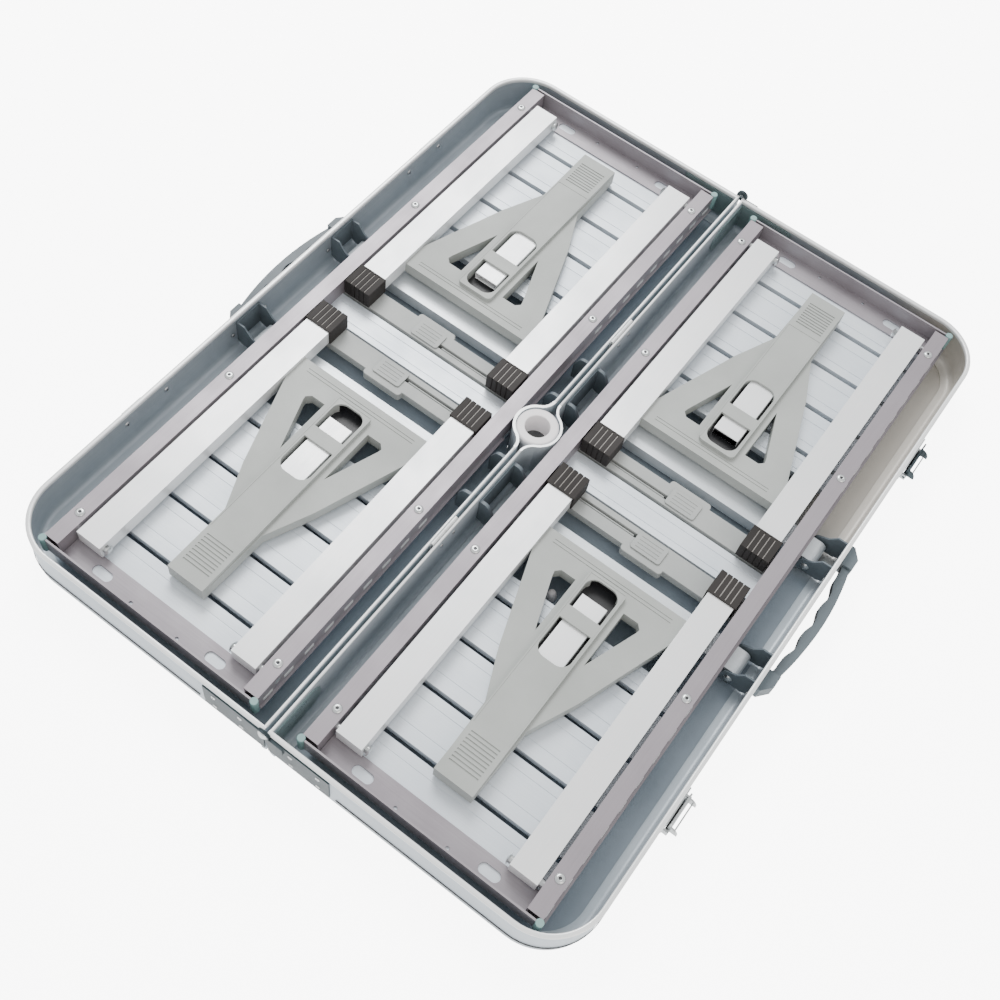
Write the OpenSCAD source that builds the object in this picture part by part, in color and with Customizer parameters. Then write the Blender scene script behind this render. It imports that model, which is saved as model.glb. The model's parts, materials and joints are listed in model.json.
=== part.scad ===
// Suitcase-type folding table with two folding benches.
// It lies open and flat, inside up: the table-top faces are at z = 0 and the hinge line runs along Y.

/* [Case] */
// Length of the case along the hinge line
case_l = 855; // [700:5:1026]
// Width of one tray, from the hinge line to its outer wall
case_w = 335; // [300:5:402]
// Depth of one tray
tray_h = 55; // [52:1:66]
// Radius of the two outer corners of a tray
corner_r = 60; // [30:1:75]
// Wall thickness of the tray frame
wall_t = 3; // [2:0.5:4]
// Width of the bead along the rim
rim_w = 5; // [4:0.5:8]
// Thickness of the table-top panel
panel_t = 6; // [4:0.5:8]
// Reach of the ledge that holds the panel
ledge_w = 16; // [10:1:24]
// Gap between the two trays at the hinge line
hinge_gap = 4; // [3:0.5:5]

/* [Umbrella collar] */
// Radius of the umbrella hole
ring_bore_r = 13.5; // [10:0.5:16]
// Outer radius of the collar
ring_r = 23.5; // [20:0.5:23.5]

/* [Bench] */
// Clearance between the bench and the short walls
bench_end_gap = 15.5; // [12:0.5:30]
// Distance from the hinge line to the inner rail
bench_x = 27; // [27:1:32]
// Clearance between the outer rail and the outer wall's face
bench_out_gap = 40; // [36:1:60]
// Width of a rail
rail_w = 17; // [14:1:22]
// Depth of a rail
rail_h = 22; // [18:1:24]
// Reach of a rail's foot flange
rail_foot = 3; // [2:0.5:5]
// Distance between two slats, centre to centre
slat_pitch = 58.4; // [50:0.2:66]
// Gap between two slats
slat_gap = 6; // [3:0.5:10]
// Thickness of a slat
slat_t = 9; // [7:0.5:10]
// Width of the bar at the middle of the bench
mid_bar_w = 34; // [24:1:36]
// Radius of a rivet's head
rivet_r = 5; // [3:0.5:6]

/* [Arms] */
// Width of an arm
arm_w = 28; // [20:1:32]
// Depth of an arm
arm_h = 16; // [12:1:18]
// Distance of an arm from the middle of the bench
arm_y = 79.5; // [76:0.5:84]
// Distance from the outer wall's face to the arm's pivot
arm_pivot_in = 28; // [24:1:34]
// Radius of an arm's pivot pins
arm_pin_r = 3; // [2:0.5:4]

/* [Legs] */
// Width of a leg tube
leg_w = 30; // [24:1:34]
// Depth of a leg tube
leg_h = 18; // [14:1:18]
// Wall of a leg tube
leg_wall = 1.5; // [1:0.1:2.5]
// Radius of a leg's pivot bolt
leg_pin_r = 4; // [3:0.5:5]
// Distance from the end of the bench to the leg's pivot
leg_pivot_in = 32; // [28:1:40]
// Length of a rubber foot
foot_l = 30; // [24:1:36]
// Distance of a foot from the middle of the bench
foot_y = 18; // [18:1:26]
// Thickness of the brace panel
brace_t = 14; // [10:0.5:15]

/* [Handles and latches] */
// Length of a handle's grip
grip_l = 148; // [120:1:180]
// Depth of the grip
grip_t = 11; // [8:0.5:11]
// Distance of a latch from the middle of the case
latch_y = 247; // [230:1:290]

/* [Clearances] */
// Running clearance of a pin in its hole, on the radius
pin_gap = 0.08; // [0.05:0.01:0.1]
// Clearance between pieces that slide past each other
slide_gap = 0.5; // [0.3:0.1:1]

/* [Hidden] */
$fn = 48;

left = -1;
right = 1;
front = -1;
back = 1;
ends = [front, back];
// extra reach of a cutting shape past the face it cuts
cut = 1;

// case
half_l = case_l / 2;
half_gap = hinge_gap / 2;
bottom_r = 5;
lip_w = 6;
ledge_t = 1.5;
cove_r = 7;
rim_r = 1.5;
bead_h = 4.5;
sleeve_t = 2.5;
sleeve_fillet = 16;
sleeve_r = ring_r + slide_gap + sleeve_t;
ledge_z = panel_t + ledge_t;
panel_gap = 0.2;
hinge_rise = 0.15;
hinge_z = tray_h + hinge_rise;
wall_in_x = case_w - wall_t;
hinge_wall_x = half_gap + wall_t;

// heights in a tray, from the floor up
rail_top = tray_h - 3;
rail_z = rail_top - rail_h;
slat_z = rail_z - slat_t;
arm_top = rail_z - 3;
arm_z = arm_top - arm_h / 2;
leg_top = rail_top;
leg_z = leg_top - leg_h / 2;
brace_top = leg_top - 5;
brace_z = brace_top - brace_t;

// bench
bench_half = half_l - bench_end_gap;
bench_out_x = case_w - bench_out_gap;
bench_mid = (bench_x + bench_out_x) / 2;
plate_t = 2;
plate_w = 28;
rail_half = bench_half - plate_t - 3;
foot_notch = sleeve_r - 4;
rail_wall = 1.6;
rail_in = bench_x + rail_w;
rail_out = bench_out_x - rail_w;
slat_end_gap = 0.5;
slat_wall = 1.2;
arm_slot_in = slat_pitch;
slats_out = bench_half - 6.2;
arm_bay_out = arm_y + arm_w / 2 + 52;
slats_per_end = floor((slats_out + slat_gap - arm_bay_out) / slat_pitch);
half_slat_w = 25;
housing_in = mid_bar_w / 2 + 3;
housing_out = arm_slot_in - slat_gap;
housing_z = rail_z + 1.5;
rivet_y = 157.5;

// arms
arm_out_x = case_w - arm_pivot_in;
arm_in_x = bench_x + 16;
gusset_t = 2;
gusset_in = arm_w / 2 + 2.5;
cradle_t = 4;

// legs
leg_pivot_y = bench_half - leg_pivot_in;
leg_side = 4;
leg_x = [rail_in + leg_side + leg_w / 2, rail_out - leg_side - leg_w / 2];
foot_wall = 2;
foot_socket = 26;
leg_end_y = foot_y + foot_l - foot_socket;
brace_half = (leg_x[1] - leg_x[0] - leg_w) / 2;
brace_y = foot_y + 68;
brace_base = 32;
spine_half = 22;
channel_half = 15.5;
brace_tip_y = leg_pivot_y - 21;
tube_past = 6.5;
spine_y = brace_y + 16;
window_y = brace_y + 21;
window_l = 101;
window_half = 18.5;
strap_y = brace_y + 61;
strap_l = 16;
bolt_half = 15;
bolt_h = 10;
bolt_roof = 3.5;
bolt_gap = 0.4;
bolt_travel = 12;
bolt_end_y = window_y + bolt_travel + 8;
bolt_l = 186;

// lock slider
slider_l = 36;
slider_w = 22;
slider_t = 1.5;
slider_x = bench_mid + 8;
slider_y = housing_in + slider_w / 2 + 2.5;
slot_w = 5;
slider_travel = 12;
stem_half = 8;
slot_x = [rail_in + 18, slider_x + stem_half + slide_gap];
slot_y = slider_y - 4;
guide_end = slider_x - stem_half - slider_travel - 1;
guide_w = 2;
boss_half = 25;
boss_r = 4;

// mid hinges
mid_hinge_y = 162;
mid_hinge_l = 40;
knuckle_r = 1.85;
knuckle_bore = 0.9;
leaf_t = 0.8;
leaf_z = tray_h - 17;
knuckle_l = mid_hinge_l / 4;
knuckle_gap = 0.3;

// end hinges
ear_r = 7;
ear_t = 1.5;
ear_gap = 0.3;
ear_y = [half_l + ear_gap, half_l + ear_t + 2 * ear_gap];
end_pin_r = 2.5;
end_plate_l = 75;
end_plate_z = 12;
end_plate_top = tray_h - 3;

// handle
grip_x = case_w + 7.5;
grip_z = 33;
grip_bulge = 8;
grip_end = 9;
grip_wave = 1.8;
trunnion_r = 3;
trunnion_l = 6;
block_l = 26;
block_h = 18;

// latch
latch_w = 37;
wing_r = 10;
wing_t = 2;
latch_plate_t = 1.5;
latch_z = 24;
lever_t = 1.8;
lever_h = 20;
lever_pin_r = 1.5;
lever_x = case_w + latch_plate_t + 3.2;

// points of an arc, from angle a0 to a1
function arc(x, y, r, a0, a1, n = 6) = [for (i = [0:n]) let (a = a0 + (a1 - a0) * i / n) [x + r * cos(a), y + r * sin(a)]];

// section of the tray frame: u runs inwards from the outer face, z runs up; rim is its width at the top
function frame_section(rim) = concat(
  arc(bottom_r, bottom_r, bottom_r, 270, 180),
  arc(rim_r, tray_h - rim_r, rim_r, 180, 90),
  arc(rim - rim_r, tray_h - rim_r, rim_r, 90, 0),
  [[rim, tray_h - bead_h], [wall_t, tray_h - bead_h - 2]],
  arc(wall_t + cove_r, ledge_z + cove_r, cove_r, 180, 270),
  [[ledge_w, ledge_z], [ledge_w, panel_t], [lip_w, panel_t], [lip_w, 0]]
);

// outline of the brace panel, in the leg's own plane: x across from the middle, y away from the feet
function brace_outline() = let (
  flare_y = brace_y + brace_base,
  neck_y = flare_y + 107,
  throat_y = neck_y + 52
) [
  [-brace_half, brace_y], [brace_half, brace_y], [brace_half, flare_y], [brace_half * 0.56, neck_y],
  [spine_half + 2, throat_y], [spine_half, brace_tip_y], [-spine_half, brace_tip_y],
  [-spine_half - 2, throat_y], [-brace_half * 0.56, neck_y], [-brace_half, flare_y]
];

// section of a rail: a box with a foot flange on its outer side
function rail_section() = [[-rail_foot, 0], [rail_w, 0], [rail_w, rail_h], [0, rail_h], [0, plate_t], [-rail_foot, plate_t]];

module on_side(side) {
  if (side == right) children();
  else mirror([1, 0, 0]) children();
}

module to_end(end) {
  if (end == back) children();
  else mirror([0, 1, 0]) children();
}

// a cylinder along X, Y or Z, from its own start
module rod_x(r, l) { rotate([0, 90, 0]) cylinder(r = r, h = l); }
module rod_y(r, l) { rotate([-90, 0, 0]) cylinder(r = r, h = l); }

// a block from its lowest corner to its highest
module block(low, high) { translate(low) cube([high[0] - low[0], high[1] - low[1], high[2] - low[2]]); }

// a flat shape drawn in X and Z, with its thickness along +Y from y
module upright_xz(y, t) { translate([0, y + t, 0]) rotate([90, 0, 0]) linear_extrude(t) children(); }

module obround(l, w, h) {
  translate([-l / 2 + w / 2, 0, 0]) cylinder(d = w, h = h);
  translate([l / 2 - w / 2, 0, 0]) cylinder(d = w, h = h);
  translate([-l / 2 + w / 2, -w / 2, 0]) cube([l - w, w, h]);
}

module rounded_box(l, w, h, r) {
  for (x = [-1, 1], y = [-1, 1]) translate([x * (l / 2 - r), y * (w / 2 - r), 0]) cylinder(r = r, h = h);
  translate([-l / 2 + r, -w / 2, 0]) cube([l - 2 * r, w, h]);
  translate([-l / 2, -w / 2 + r, 0]) cube([l, w - 2 * r, h]);
}

// domed rivet head, standing on z = 0
module rivet_head(r, h) {
  ball = (r * r + h * h) / (2 * h);
  rotate_extrude() polygon(concat([[0, 0], [r, 0]], arc(0, h - ball, ball, asin((ball - h) / ball), 90, 5)));
}

// straight stretch of the frame, of length l along +Y, outer face at x = 0 and inside towards -X
module frame_stretch(l, rim) {
  translate([0, l, 0]) rotate([90, 0, 0]) linear_extrude(l) mirror([1, 0, 0]) polygon(frame_section(rim));
}

module frame_corner() {
  rotate_extrude(angle = 90, $fn = 96) translate([corner_r, 0, 0]) mirror([1, 0, 0]) polygon(frame_section(rim_w));
}

module half_frame_sweep() {
  straight = half_l - corner_r;
  translate([case_w, -straight, 0]) frame_stretch(2 * straight, rim_w);
  for (end = ends) to_end(end) {
    translate([case_w - corner_r, straight, 0]) frame_corner();
    translate([case_w - corner_r, half_l, 0]) rotate([0, 0, 90]) frame_stretch(case_w - corner_r - half_gap, rim_w);
  }
  translate([half_gap, half_l, 0]) rotate([0, 0, 180]) frame_stretch(case_l, wall_t + 0.01);
}

// outline of the hinge wall's bulge round the collar, from x0 outwards: a circle of radius r that
// flows into the straight wall through fillets of radius f
function bulge_outline(x0, r, f) = let (
  centre_x = hinge_wall_x + sleeve_fillet,
  centre_y = sqrt(pow(sleeve_r + sleeve_fillet, 2) - pow(centre_x, 2)),
  turn = atan2(centre_y, centre_x),
  step = turn / 12
) concat(
  [[x0, -centre_y]], arc(centre_x, -centre_y, f, 180, 180 - turn, 8), arc(0, 0, r, step - turn, turn - step, 22),
  arc(centre_x, centre_y, f, 180 + turn, 180, 8), [[x0, centre_y]]
);

module case_frame(side) {
  socket_r = side == left ? ring_r : ring_r + slide_gap;
  color("lightgray") on_side(side) difference() {
    union() {
      half_frame_sweep();
      linear_extrude(tray_h) polygon(bulge_outline(half_gap, sleeve_r, sleeve_fillet));
    }
    translate([0, 0, -cut]) linear_extrude(tray_h + 2 * cut)
      polygon(bulge_outline(-cut, socket_r, sleeve_fillet + sleeve_r - socket_r));
  }
}

module table_panel(side) {
  inset = lip_w + panel_gap;
  r = corner_r - inset;
  x0 = half_gap + inset;
  x1 = case_w - inset;
  y1 = half_l - inset;
  color("gainsboro") on_side(side) difference() {
    union() {
      block([x0, -y1, 0], [x1 - r, y1, panel_t]);
      block([x0, -y1 + r, 0], [x1, y1 - r, panel_t]);
      for (end = ends) translate([x1 - r, end * (y1 - r), 0]) cylinder(r = r, h = panel_t);
    }
    translate([0, 0, -cut]) linear_extrude(panel_t + 2 * cut)
      polygon(bulge_outline(-cut, sleeve_r + panel_gap, sleeve_fillet - panel_gap));
  }
}

// two U brackets on the outer wall, each with two gussets beside an arm
module arm_brackets(side) {
  back_x = wall_in_x - gusset_t;
  color("slategray") on_side(side) for (end = ends) to_end(end) difference() {
    union() {
      block([back_x, arm_y - gusset_in - gusset_t, ledge_z + cove_r], [wall_in_x, arm_y + gusset_in + gusset_t, 45]);
      for (y = [arm_y - gusset_in - gusset_t, arm_y + gusset_in]) upright_xz(y, gusset_t)
        polygon([
          [wall_in_x, ledge_z + cove_r], [wall_in_x, 45], [arm_out_x + 13, 45], [arm_out_x + 5, 34],
          [arm_out_x - 7, rail_z - 2], [arm_out_x - 11, arm_z], [arm_out_x - 7, ledge_z + 2.5],
          [wall_in_x - 8, ledge_z + 2.5]
        ]);
    }
    translate([arm_out_x, arm_y - gusset_in - gusset_t - cut, arm_z])
      rod_y(arm_pin_r, 2 * (gusset_in + gusset_t + cut));
  }
}

// brackets on the hinge wall that hold the bench's inner side when it is stowed
module cradle_brackets(side) {
  near = arm_y - 32;
  far = arm_y + 30;
  reach = bench_x - rail_foot - 1.5;
  low = ledge_z + cove_r;
  high = tray_h - bead_h - 2.2;
  nose_r = 7;
  color("slategray") on_side(side) for (end = ends) to_end(end) {
    block([hinge_wall_x, near, low], [hinge_wall_x + gusset_t, far, high]);
    for (y = [near, far - cradle_t]) upright_xz(y, cradle_t) polygon(concat(
      [[hinge_wall_x, low], [hinge_wall_x, high]],
      arc(hinge_wall_x + 6, high - nose_r, nose_r, 90, 30),
      [[reach, rail_z + 4], [reach, ledge_z + 3], [hinge_wall_x + 8, ledge_z + 3]]
    ));
  }
}

// collar with a rounded lip
module umbrella_collar() {
  lip_r = 3;
  color("white") difference() {
    union() {
      cylinder(r = ring_r, h = 4);
      cylinder(r = ring_r - lip_r, h = tray_h - 1);
      translate([0, 0, tray_h - 1 - 3 * lip_r]) cylinder(r = ring_r, h = 2 * lip_r);
      translate([0, 0, tray_h - 1 - lip_r]) rotate_extrude() translate([ring_r - lip_r, 0]) circle(r = lip_r);
    }
    translate([0, 0, -cut]) cylinder(r = ring_bore_r, h = tray_h + 2 * cut);
  }
}

// knuckle k of four is on the left leaf when k is even
module hinge_leaves(side) {
  mine = side == left ? [0, 2] : [1, 3];
  color("whitesmoke") for (end = ends) translate([0, end * mid_hinge_y - mid_hinge_l / 2, 0]) difference() {
    union() {
      on_side(side) block([half_gap - leaf_t, 0, leaf_z], [half_gap, mid_hinge_l, hinge_z - knuckle_r - 0.5]);
      for (k = mine) {
        y0 = k * knuckle_l + knuckle_gap / 2;
        y1 = (k + 1) * knuckle_l - knuckle_gap / 2;
        translate([0, y0, hinge_z]) rod_y(knuckle_r, y1 - y0);
        on_side(side) block([half_gap - leaf_t, y0, leaf_z], [knuckle_r, y1, hinge_z]);
      }
    }
    translate([0, -cut, hinge_z]) rod_y(side == left ? knuckle_bore : knuckle_bore + pin_gap, mid_hinge_l + 2 * cut);
  }
}

module hinge_pins() {
  color("silver") for (end = ends) translate([0, end * mid_hinge_y - mid_hinge_l / 2, hinge_z])
    rod_y(knuckle_bore, mid_hinge_l);
}

// flat plate on a short wall's outside, with an ear round the hinge line;
// the right tray's ear laps over the left one
module end_hinge_plates(side) {
  y0 = side == left ? ear_y[0] : ear_y[1];
  color("darkslategray") on_side(side) for (end = ends) to_end(end) difference() {
    union() {
      difference() {
        union() {
          block([half_gap, half_l, end_plate_z], [end_plate_l, half_l + ear_t, end_plate_top]);
          block([half_gap, half_l, end_plate_top - 12], [end_plate_l * 0.3, y0 + ear_t, end_plate_top]);
        }
        if (side == right) translate([0, half_l - cut, hinge_z]) rod_y(ear_r + slide_gap, cut + ear_y[1] - half_l);
      }
      translate([0, y0, hinge_z]) rod_y(ear_r, ear_t);
    }
    translate([0, y0 - cut, hinge_z]) rod_y(side == left ? end_pin_r : end_pin_r + pin_gap, ear_t + 2 * cut);
  }
}

module end_hinge_pins() {
  stack = ear_y[1] + ear_t + ear_gap - ear_y[0];
  color("silver") for (end = ends) to_end(end) translate([0, ear_y[0], hinge_z]) {
    rod_y(end_pin_r, stack);
    translate([0, stack, 0]) rotate([-90, 0, 0]) rivet_head(ear_r - 1.5, 2.5);
  }
}

// translucent angle plates in the two inner corners beside the hinge line
module corner_plates(side) {
  t = 1.5;
  low = ledge_z + cove_r;
  high = tray_h - bead_h - 2.5;
  x0 = hinge_wall_x;
  y1 = half_l - wall_t;
  color("cadetblue", 0.7) on_side(side) for (end = ends) to_end(end) {
    block([x0, y1 - t, low], [x0 + 70, y1, high]);
    block([x0, y1 - 50, low], [x0 + t, y1, high]);
    translate([x0, y1 - 50, (low + high) / 2]) rod_x((high - low) / 2, t);
  }
}

// outline of a grip seen from above: smooth outer side, finger waves towards the wall
function grip_outer(n = 24) = [for (i = [0:n]) let (s = i / n * 2 - 1)
  [grip_bulge * (1 - s * s) + grip_end / 2, -s * grip_l / 2]];
function grip_inner(n = 48) = [for (i = [0:n]) let (s = i / n * 2 - 1)
  [grip_bulge * 0.8 * (1 - s * s) - grip_end / 2 + grip_wave * (1 - pow(s, 4)) * cos(s * 720), s * grip_l / 2]];

module handle_grip(side) {
  color("slategray") on_side(side) translate([grip_x, 0, grip_z]) {
    translate([0, 0, -grip_t / 2]) linear_extrude(grip_t) polygon(concat(grip_outer(), grip_inner()));
    for (end = ends) to_end(end) translate([0, grip_l / 2 - 2, 0]) rod_y(trunnion_r, trunnion_l + 2);
  }
}

module handle_blocks(side) {
  y0 = grip_l / 2 + slide_gap;
  color("slategray") on_side(side) for (end = ends) to_end(end) difference() {
    translate([case_w, y0, grip_z - block_h / 2]) linear_extrude(block_h)
      polygon([[0, 0], [grip_x + 6 - case_w, 0], [grip_x + 6 - case_w, block_l * 0.55], [4, block_l], [0, block_l]]);
    translate([grip_x, y0 - cut, grip_z]) rod_y(trunnion_r + pin_gap, trunnion_l + cut + slide_gap);
  }
}

module latch_plates() {
  color("gray") for (end = ends) translate([case_w, end * latch_y - latch_w / 2 - 3, latch_z - 8]) difference() {
    union() {
      cube([latch_plate_t, latch_w + 6, 30]);
      for (y = [0, latch_w + 6 - 2.5]) translate([0, y, 4]) cube([latch_plate_t + 5.5, 2.5, 8]);
    }
    translate([lever_x - case_w, -cut, 8]) rod_y(lever_pin_r + pin_gap, latch_w + 6 + 2 * cut);
  }
}

module latch_catches() {
  color("gray") mirror([1, 0, 0]) for (end = ends) translate([case_w, end * latch_y - latch_w / 2 - 3, tray_h - 20]) {
    cube([latch_plate_t, latch_w + 6, 16]);
    translate([0, 8, 9]) cube([5, latch_w - 10, 2.5]);
    translate([3.5, 8, 5]) cube([1.5, latch_w - 10, 6.5]);
  }
}

// curved wing at each end of a lever, drawn in X and Z from the pivot
module lever_wing() {
  intersection() {
    circle(r = wing_r);
    translate([-1, 0]) square([wing_r + 2, wing_r + 2]);
  }
}

module latch_lever(end) {
  color("darkgray") translate([lever_x, end * latch_y - latch_w / 2 + slide_gap, latch_z]) {
    l = latch_w - 2 * slide_gap;
    rod_y(2.6, l);
    translate([0, -3.5, 0]) rod_y(lever_pin_r, l + 7);
    translate([-lever_t / 2, 0, 0]) cube([lever_t, l, lever_h]);
    for (y = [0, l - wing_t]) upright_xz(y, wing_t) lever_wing();
  }
}

module bench_rail() {
  translate([bench_x, rail_half, rail_z]) rotate([90, 0, 0]) linear_extrude(2 * rail_half) difference() {
    polygon(rail_section());
    translate([rail_wall, rail_wall]) square([rail_w - 2 * rail_wall, rail_h - 2 * rail_wall]);
  }
}

// hollow rails with foot flanges; the inner rail's flange is notched beside the umbrella collar
module bench_rails(side) {
  color("rosybrown") on_side(side) difference() {
    union() {
      bench_rail();
      translate([2 * bench_mid, 0, 0]) mirror([1, 0, 0]) bench_rail();
    }
    for (end = ends) translate([bench_x - cut, end * leg_pivot_y, leg_z])
      rod_x(leg_pin_r, bench_out_x - bench_x + 2 * cut);
    block([bench_x - rail_foot - cut, -foot_notch, rail_z - cut], [bench_x, foot_notch, rail_z + plate_t + cut]);
  }
}

// section of a slat along the bench: a hollow plank with two ribs and two fine grooves on each face
module slat_section(w) {
  groove = 1;
  cell = (w - 4 * slat_wall) / 3;
  difference() {
    square([w, slat_t]);
    for (k = [0:2]) translate([slat_wall + k * (cell + slat_wall), slat_wall + 0.4])
      square([cell, slat_t - 2 * slat_wall - 0.8]);
    for (x = [w * 0.2, w * 0.72], z = [-0.5, slat_t - 0.5]) translate([x, z]) square([groove, 1]);
  }
}

module slat(y0, w) {
  x0 = bench_x + slat_end_gap;
  x1 = bench_out_x - slat_end_gap;
  translate([x0, y0, slat_z]) rotate([90, 0, 90]) linear_extrude(x1 - x0) slat_section(w);
}

module seat_slats(side) {
  color("lightsteelblue") on_side(side) {
    for (end = ends, k = [0:slats_per_end - 1]) to_end(end)
      slat(slats_out - (k + 1) * slat_pitch + slat_gap, slat_pitch - slat_gap);
    for (end = ends) to_end(end) slat(slats_out - slats_per_end * slat_pitch - half_slat_w, half_slat_w);
    slat(-mid_bar_w / 2, mid_bar_w);
  }
}

// sheet-metal plates of a bench: one across each end, and the lugs under the inner rail that the arms turn on
module bench_plates(side) {
  inner = bench_half - plate_w;
  post = 5;
  lug_y = arm_w / 2 + 1.5;
  color("gray") on_side(side) for (end = ends) to_end(end) {
    difference() {
      union() {
        block([rail_in + slide_gap, inner, rail_z], [rail_out - slide_gap, bench_half, rail_z + plate_t]);
        block([bench_x + post, bench_half - plate_t, rail_z], [bench_out_x - post, bench_half, rail_top]);
      }
      for (s = [-1, 1]) {
        translate([bench_mid + s * (brace_half - 11), inner + plate_w / 2, rail_z - cut])
          obround(23, 11, plate_t + 2 * cut);
        translate([bench_mid + s * 29.5, inner + 20, rail_z - cut]) cylinder(r = 2, h = plate_t + 2 * cut);
      }
    }
    for (y = [-1, 1]) upright_xz(arm_y + y * lug_y - gusset_t / 2, gusset_t) difference() {
      polygon([
        [arm_in_x - 10, rail_z], [arm_in_x + 9, rail_z], [arm_in_x + 9, rail_z - 5], [arm_in_x + 4, arm_z - 6],
        [arm_in_x - 4, arm_z - 6], [arm_in_x - 10, rail_z - 8]
      ]);
      translate([arm_in_x, arm_z]) circle(r = arm_pin_r);
    }
  }
}

// plastic housings on both sides of the middle bar, each with a slot that a slider runs in
// and a thin guide bar in the slot
module lock_housings(side) {
  back_y = housing_out - 6;
  color("darkgray") on_side(side) for (end = ends) to_end(end) {
    difference() {
      union() {
        block([bench_x + slat_end_gap, housing_in, slat_z], [bench_out_x - slat_end_gap, back_y, rail_z]);
        block([rail_in + slide_gap, housing_in, rail_z - 1], [rail_out - slide_gap, back_y, housing_z]);
        block([slider_x - boss_half, housing_in, slat_z], [slider_x + boss_half, housing_out - boss_r, housing_z]);
        block([slider_x - boss_half + boss_r, housing_in, slat_z],
              [slider_x + boss_half - boss_r, housing_out, housing_z]);
        for (x = [-1, 1]) translate([slider_x + x * (boss_half - boss_r), housing_out - boss_r, slat_z])
          cylinder(r = boss_r, h = housing_z - slat_z);
      }
      block([slot_x[0], slot_y - slot_w / 2, slat_z - cut], [slot_x[1], slot_y + slot_w / 2, housing_z + cut]);
    }
    block([slot_x[0] - cut, slot_y - guide_w / 2, slat_z], [guide_end, slot_y + guide_w / 2, housing_z - 2]);
  }
}

// thumb pad over the slot, with the stem that runs in it
module lock_slider(side, end) {
  z0 = housing_z + 0.3;
  half_w = slot_w / 2 - slide_gap;
  pad_groove = 0.9;
  color("gray") on_side(side) to_end(end) difference() {
    union() {
      translate([slider_x, slider_y, z0]) rounded_box(slider_l, slider_w, slider_t, 3);
      block([slider_x - stem_half, slot_y - half_w, slat_z + 2],
            [slider_x + stem_half, slot_y + half_w, z0 + slider_t / 2]);
    }
    for (k = [0:3]) translate([slider_x - slider_l / 2 + 5, slider_y - slider_w / 2 + 4 + k * 4.5, z0 + slider_t - 0.6])
      cube([slider_l - 10, pad_groove, 1]);
  }
}

// corner cap over the joint of a rail and the end plate
module corner_cap() {
  w = 8;
  translate([bench_x + 1, bench_half - 1, rail_z]) rounded_box(w, w, rail_h + 1, 3.9);
}

// bolt that a leg tube turns on, from the rail's outer face through the tube
module leg_bolt() {
  l = leg_x[0] + leg_w / 2 + 3.5 - bench_x;
  translate([bench_x, leg_pivot_y, leg_z]) {
    rod_x(leg_pin_r, l);
    translate([l, 0, 0]) rotate([0, 90, 0]) rivet_head(leg_pin_r + 2, 2.5);
  }
}

// shapes at the inner rail's back end, repeated at all four corners of a bench
module to_corners() {
  for (end = ends) to_end(end) {
    children();
    translate([2 * bench_mid, 0, 0]) mirror([1, 0, 0]) children();
  }
}

// corner caps, rivets and leg bolts of a bench
module bench_trim(side) {
  color("mediumaquamarine") on_side(side) to_corners() corner_cap();
  color("silver") on_side(side) to_corners() {
    for (y = [rivet_y, bench_half - 42.5]) translate([bench_x + rail_w / 2, y, rail_top]) rivet_head(rivet_r, 1.8);
    leg_bolt();
  }
}

module arm_pins(side) {
  reach = gusset_in + gusset_t;
  color("silver") on_side(side) for (end = ends) to_end(end) translate([arm_out_x, arm_y, arm_z]) {
    translate([0, -reach, 0]) rod_y(arm_pin_r, 2 * reach);
    translate([0, -reach, 0]) rotate([90, 0, 0]) rivet_head(5, 2.5);
    translate([0, reach, 0]) rotate([-90, 0, 0]) rivet_head(5, 2.5);
  }
}

// square tubes between the outer wall and the bench's inner rail, with a cross pin in the inner end
module arms(side) {
  lug_reach = arm_w / 2 + 1.5 + gusset_t / 2;
  color("gainsboro") on_side(side) for (end = ends) to_end(end) translate([0, arm_y, arm_z]) {
    difference() {
      union() {
        block([arm_in_x, -arm_w / 2, -arm_h / 2], [arm_out_x, arm_w / 2, arm_h / 2]);
        for (x = [arm_in_x, arm_out_x]) translate([x, -arm_w / 2, 0]) rod_y(arm_h / 2, arm_w);
      }
      block([arm_in_x + 14, -arm_w / 2 + leg_wall, -arm_h / 2 + leg_wall],
            [arm_out_x - 14, arm_w / 2 - leg_wall, arm_h / 2 - leg_wall]);
      translate([arm_out_x, -arm_w / 2 - cut, 0]) rod_y(arm_pin_r + pin_gap, arm_w + 2 * cut);
    }
    translate([arm_in_x, -lug_reach, 0]) rod_y(arm_pin_r - pin_gap, 2 * lug_reach);
  }
}

module leg_tubes(side, end) {
  color("white") on_side(side) to_end(end) for (x = leg_x) translate([x, 0, leg_z]) difference() {
    block([-leg_w / 2, leg_end_y, -leg_h / 2], [leg_w / 2, leg_pivot_y + tube_past, leg_h / 2]);
    block([-leg_w / 2 + leg_wall, leg_end_y - cut, -leg_h / 2 + leg_wall],
          [leg_w / 2 - leg_wall, leg_pivot_y - leg_h / 2, leg_h / 2 - leg_wall]);
    translate([-leg_w / 2 - cut, leg_pivot_y, 0]) rod_x(leg_pin_r + pin_gap, leg_w + 2 * cut);
  }
}

module leg_feet(side, end) {
  ribs = 5;
  groove = 1.3;
  full_w = leg_w + 2 * foot_wall;
  step = (full_w - 2 * groove) / ribs;
  color("black") on_side(side) to_end(end) for (x = leg_x) translate([x, foot_y, leg_z]) difference() {
    block([-full_w / 2, 0, -leg_h / 2 - 1], [full_w / 2, foot_l, leg_h / 2 + foot_wall]);
    block([-leg_w / 2, foot_l - foot_socket, -leg_h / 2], [leg_w / 2, foot_l + cut, leg_h / 2]);
    for (k = [1:ribs - 1]) {
      translate([-full_w / 2 + groove + k * step - groove / 2, -cut, leg_h / 2 + foot_wall - 1])
        cube([groove, foot_l - 2 + cut, 1 + cut]);
      translate([-full_w / 2 + groove + k * step - groove / 2, -cut, -leg_h / 2])
        cube([groove, 1 + cut, leg_h + foot_wall]);
    }
  }
}

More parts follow.
